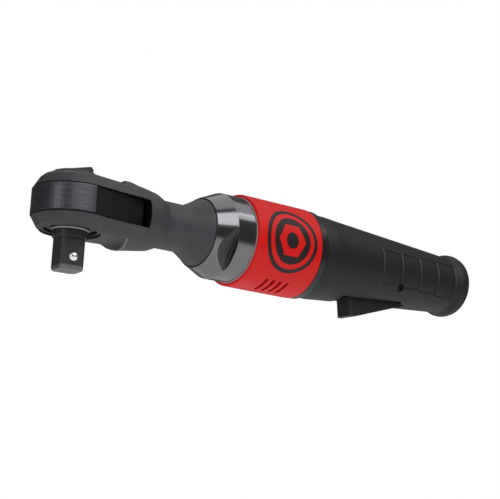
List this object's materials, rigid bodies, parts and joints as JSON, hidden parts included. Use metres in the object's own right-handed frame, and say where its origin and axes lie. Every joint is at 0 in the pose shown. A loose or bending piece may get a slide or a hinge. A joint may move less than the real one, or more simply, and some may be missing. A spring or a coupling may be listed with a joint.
{
  "type": "air ratchet",
  "caption": "Handheld pneumatic ratchet wrench with a square output drive, side lever throttle, reversing knob and threaded air inlet.",
  "frame": {"origin": "centre of the square drive's end face", "axes": "+Z back up the output axis, away from the socket; +X along the handle to the air inlet"},
  "size_m": [0.2936, 0.0506, 0.0585],
  "materials": {
    "housing_steel": "charcoal satin finish",
    "nut_chrome": "black nickel, polished",
    "casing_alloy": "as cast",
    "sleeve_red": "satin red",
    "ring_black": "moulded",
    "grip_black": "fine moulded grain",
    "lever_black": "fine moulded grain",
    "pin_steel": "black oxide",
    "yoke_steel": "dark, ground",
    "anvil_steel": "black oxide",
    "knob_steel": "charcoal satin finish",
    "ball_steel": "polished",
    "clip_steel": "black oxide",
    "washer_steel": "ground",
    "inlet_steel": "turned",
    "brass": "turned",
    "rubber": "smooth",
    "felt": "felt",
    "inner_alloy": "turned",
    "inner_steel": "ground",
    "vane_resin": "moulded"
  },
  "bodies": {
    "housing": {"ratchet_housing": "housing_steel", "front_crank_bush": "brass", "rear_crank_bush": "brass", "thrust_washer": "washer_steel", "retaining_ring": "clip_steel", "ring_gear": "inner_steel", "gear_spacer": "inner_alloy", "front_bearing": "inner_steel", "front_end_plate": "inner_alloy", "cylinder_liner": "inner_steel", "rear_end_plate": "inner_alloy", "rear_bearing": "inner_steel", "motor_casing": "casing_alloy", "clamp_nut": "nut_chrome", "motor_sleeve": "sleeve_red", "exhaust_muffler": "felt", "sleeve_ring": "ring_black", "handle_grip": "grip_black", "lever_pin": "pin_steel", "valve_guide": "brass", "valve_cap": "brass", "valve_spring": "inner_steel", "inlet_bushing": "inlet_steel", "inlet_seal": "rubber", "inlet_screen": "brass"},
    "anvil": {"drive_anvil": "anvil_steel", "pawl_pin": "inner_steel", "ball_spring": "inner_steel"},
    "socket_ball": {"socket_ball": "ball_steel"},
    "yoke": {"drive_yoke": "yoke_steel"},
    "pawl": {"ratchet_pawl": "inner_steel"},
    "knob": {"reverse_knob": "knob_steel", "plunger_spring": "inner_steel"},
    "plunger": {"selector_plunger": "inner_steel"},
    "crank": {"crankshaft": "inner_steel", "planet_pin_1": "inner_steel", "planet_pin_2": "inner_steel", "planet_pin_3": "inner_steel"},
    "bushing": {"drive_bushing": "inner_steel"},
    "rotor": {"rotor": "inner_steel", "vane_1": "vane_resin", "vane_2": "vane_resin", "vane_3": "vane_resin", "vane_4": "vane_resin", "vane_5": "vane_resin"},
    "planet_1": {"planet_gear_1": "inner_steel"},
    "planet_2": {"planet_gear_2": "inner_steel"},
    "planet_3": {"planet_gear_3": "inner_steel"},
    "lever": {"throttle_lever": "lever_black"},
    "valve": {"valve_stem": "inner_steel"}
  },
  "joints": [
    {"name": "output_spin", "type": "hinge", "parent": "housing", "child": "anvil", "pos_m": [0, 0, 0.03324], "axis": [0, 0, 1], "continuous": true},
    {"name": "yoke_swing", "type": "hinge", "parent": "housing", "child": "yoke", "pos_m": [0, 0, 0.03324], "axis": [0, 0, 1], "range_deg": [-5, 5]},
    {"name": "selector_turn", "type": "hinge", "parent": "anvil", "child": "knob", "pos_m": [0, 0, 0.03324], "axis": [0, 0, 1], "range_deg": [-25, 25]},
    {"name": "pawl_tip", "type": "hinge", "parent": "anvil", "child": "pawl", "pos_m": [0.01046, -0.00092, 0.03324], "axis": [0, 0, 1], "range_deg": [-5.5, 5.5]},
    {"name": "plunger_slide", "type": "slide", "parent": "knob", "child": "plunger", "axis": [0.9962, -0.0872, 0], "range_m": [-0.0008, 0], "stiffness_N_per_m": 500, "springref_m": 0.0006},
    {"name": "socket_ball_press", "type": "slide", "parent": "anvil", "child": "socket_ball", "axis": [0.0872, 0.9962, 0], "range_m": [0, 0.0014], "stiffness_N_per_m": 1500, "springref_m": -0.001},
    {"name": "rotor_spin", "type": "hinge", "parent": "housing", "child": "rotor", "pos_m": [0.118, 0, 0.03324], "axis": [1, 0, 0], "continuous": true},
    {"name": "crank_spin", "type": "hinge", "parent": "housing", "child": "crank", "pos_m": [0.06, 0, 0.03324], "axis": [1, 0, 0], "continuous": true},
    {"name": "bushing_roll", "type": "hinge", "parent": "crank", "child": "bushing", "pos_m": [0.027, 0, 0.03559], "axis": [1, 0, 0], "continuous": true},
    {"name": "throttle_press", "type": "hinge", "parent": "housing", "child": "lever", "pos_m": [0.2102, 0, 0.02224], "axis": [0, 1, 0], "range_deg": [0, 9], "stiffness_Nm_per_rad": 2, "springref_deg": -5.73},
    {"name": "valve_lift", "type": "slide", "parent": "housing", "child": "valve", "axis": [0, 0, 1], "range_m": [0, 0.003], "deforming": ["valve_spring"]},
    {"name": "planet_1_spin", "type": "hinge", "parent": "crank", "child": "planet_1", "pos_m": [0.0834, 0, 0.04134], "axis": [1, 0, 0], "continuous": true},
    {"name": "planet_2_spin", "type": "hinge", "parent": "crank", "child": "planet_2", "pos_m": [0.0834, -0.00701, 0.02919], "axis": [1, 0, 0], "continuous": true},
    {"name": "planet_3_spin", "type": "hinge", "parent": "crank", "child": "planet_3", "pos_m": [0.0834, 0.00701, 0.02919], "axis": [1, 0, 0], "continuous": true}
  ],
  "couplings": [
    {"joint": "crank_spin", "follows": "rotor_spin", "ratio": 0.22222},
    {"joint": "planet_1_spin", "follows": "rotor_spin", "ratio": -0.62222},
    {"joint": "planet_2_spin", "follows": "rotor_spin", "ratio": -0.62222},
    {"joint": "planet_3_spin", "follows": "rotor_spin", "ratio": -0.62222},
    {"joint": "pawl_tip", "follows": "selector_turn", "ratio": -0.22},
    {"joint": "valve_lift", "follows": "throttle_press", "m_per_rad": 0.0182}
  ]
}
